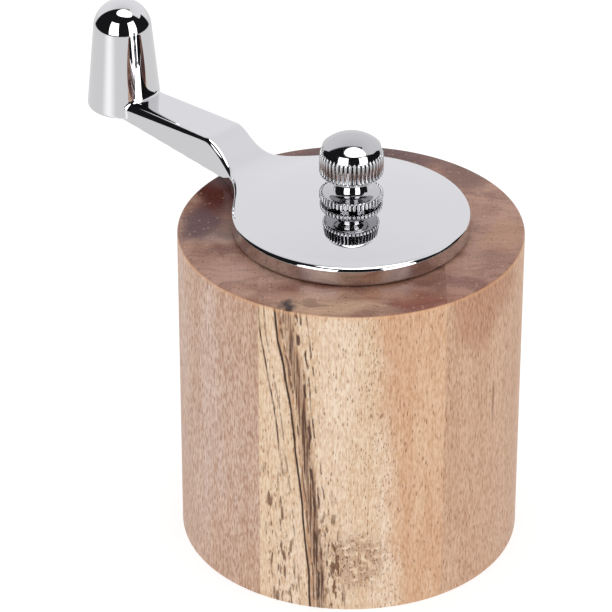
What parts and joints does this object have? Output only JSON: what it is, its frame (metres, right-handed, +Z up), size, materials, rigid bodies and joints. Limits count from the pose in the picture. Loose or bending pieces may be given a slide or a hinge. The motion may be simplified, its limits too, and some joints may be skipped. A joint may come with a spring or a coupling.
{
  "type": "burr coffee grinder",
  "caption": "Short hand-cranked burr mill in a round glued wooden block, with a one-piece chromed crank and knob and a knurled grind nut.",
  "frame": {"origin": "centre of the wooden block's flat base, on the mill's axis", "axes": "+Z up along the drive shaft, -X along the crank arm at rest"},
  "size_m": [0.109, 0.07, 0.0979],
  "materials": {
    "acacia_light": "satin oiled, pinkish tan",
    "acacia_figured": "satin oiled, cream with dark streaks",
    "acacia_tan": "satin oiled, orange tan",
    "chrome_plate": "mirror",
    "steel": "turned or stamped",
    "spring_wire": "drawn",
    "bush_brass": "turned",
    "housing_nylon": "fine moulded texture",
    "burr_ceramic": "fired, matt"
  },
  "bodies": {
    "block": {"body_board_left": "acacia_light", "body_board_centre": "acacia_figured", "body_board_right": "acacia_tan", "mouth_ring": "steel", "burr_housing": "housing_nylon", "flange_screws": "steel", "stator_burr": "burr_ceramic", "burr_retainer": "housing_nylon", "guide_spider": "steel", "spider_screws": "steel", "guide_bush": "bush_brass"},
    "carrier": {"thrust_washer": "steel", "spring": "spring_wire"},
    "shaft": {"drive_shaft": "steel", "shaft_clip": "spring_wire", "lower_spring_washer": "steel", "rotor_burr": "burr_ceramic", "rotor_driver": "steel", "rotor_screw": "steel"},
    "crank": {"crank_handle": "chrome_plate"},
    "nut": {"grind_nut": "chrome_plate"}
  },
  "joints": [
    {"name": "crank_turn", "type": "hinge", "parent": "block", "child": "carrier", "pos_m": [0, 0, 0.0288], "axis": [0, 0, 1], "continuous": true},
    {"name": "shaft_slide", "type": "slide", "parent": "carrier", "child": "shaft", "axis": [0, 0, 1], "range_m": [0, 0.0016], "deforming": ["spring"]},
    {"name": "crank_lift", "type": "slide", "parent": "carrier", "child": "crank", "axis": [0, 0, 1], "range_m": [0, 0.05]},
    {"name": "nut_turn", "type": "hinge", "parent": "crank", "child": "nut", "pos_m": [0, 0, 0.07605], "axis": [0, 0, 1], "range_deg": [-720, 0]}
  ],
  "couplings": [
    {"joint": "nut_turn", "follows": "shaft_slide", "rad_per_m": -7854}
  ]
}
